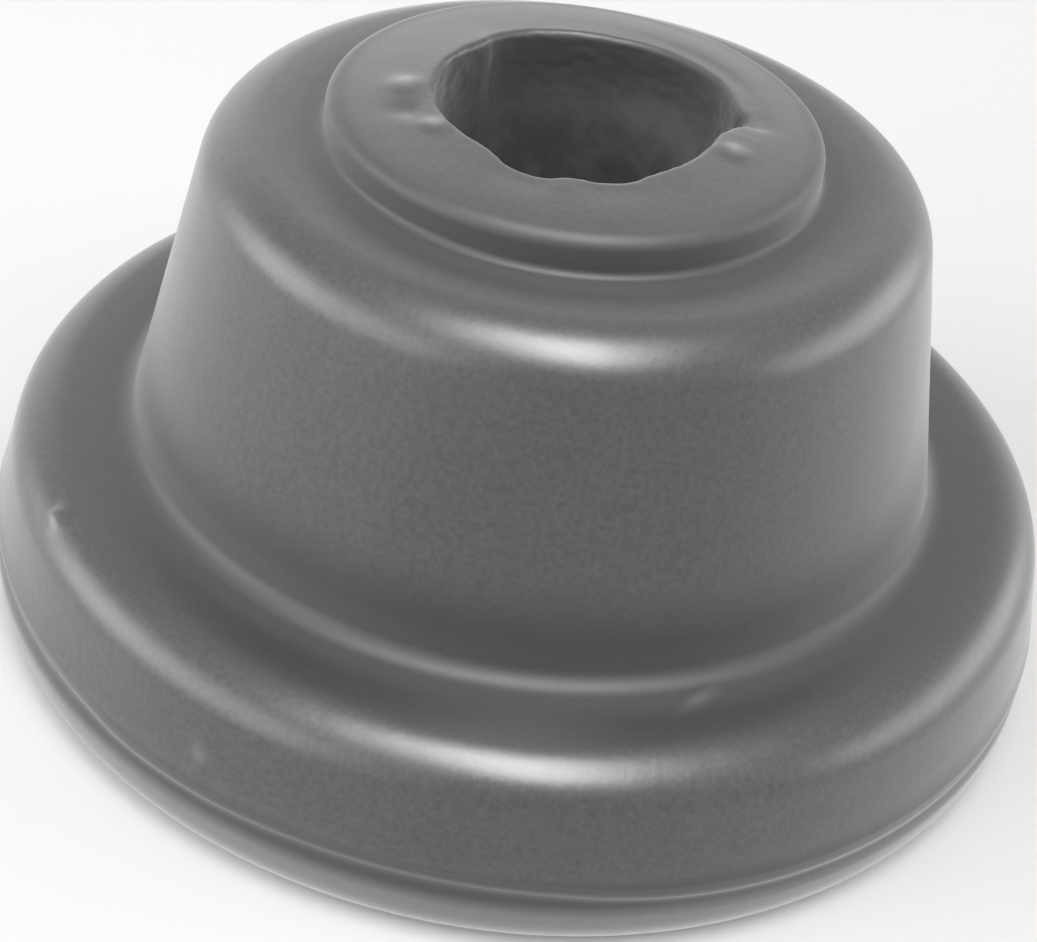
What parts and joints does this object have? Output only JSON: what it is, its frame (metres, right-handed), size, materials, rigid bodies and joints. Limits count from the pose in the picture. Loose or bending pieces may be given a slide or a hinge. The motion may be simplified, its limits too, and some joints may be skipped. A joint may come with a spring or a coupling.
{
  "type": "control arm bushing",
  "caption": "Moulded rubber bushing: a round flange carrying a tapered barrel with a raised boss, bored straight through for a bolt or sleeve.",
  "frame": {"origin": "middle of the flat underside of the flange, on the axis of the bore", "axes": "+Z along the bore from the underside up to the boss; +X and +Y lie in the underside"},
  "size_m": [0.0562, 0.0562, 0.0295],
  "materials": {
    "black_rubber": "satin moulded rubber, dark grey to black, plain"
  },
  "bodies": {
    "root": {"rubber_bushing": "black_rubber"}
  },
  "joints": []
}
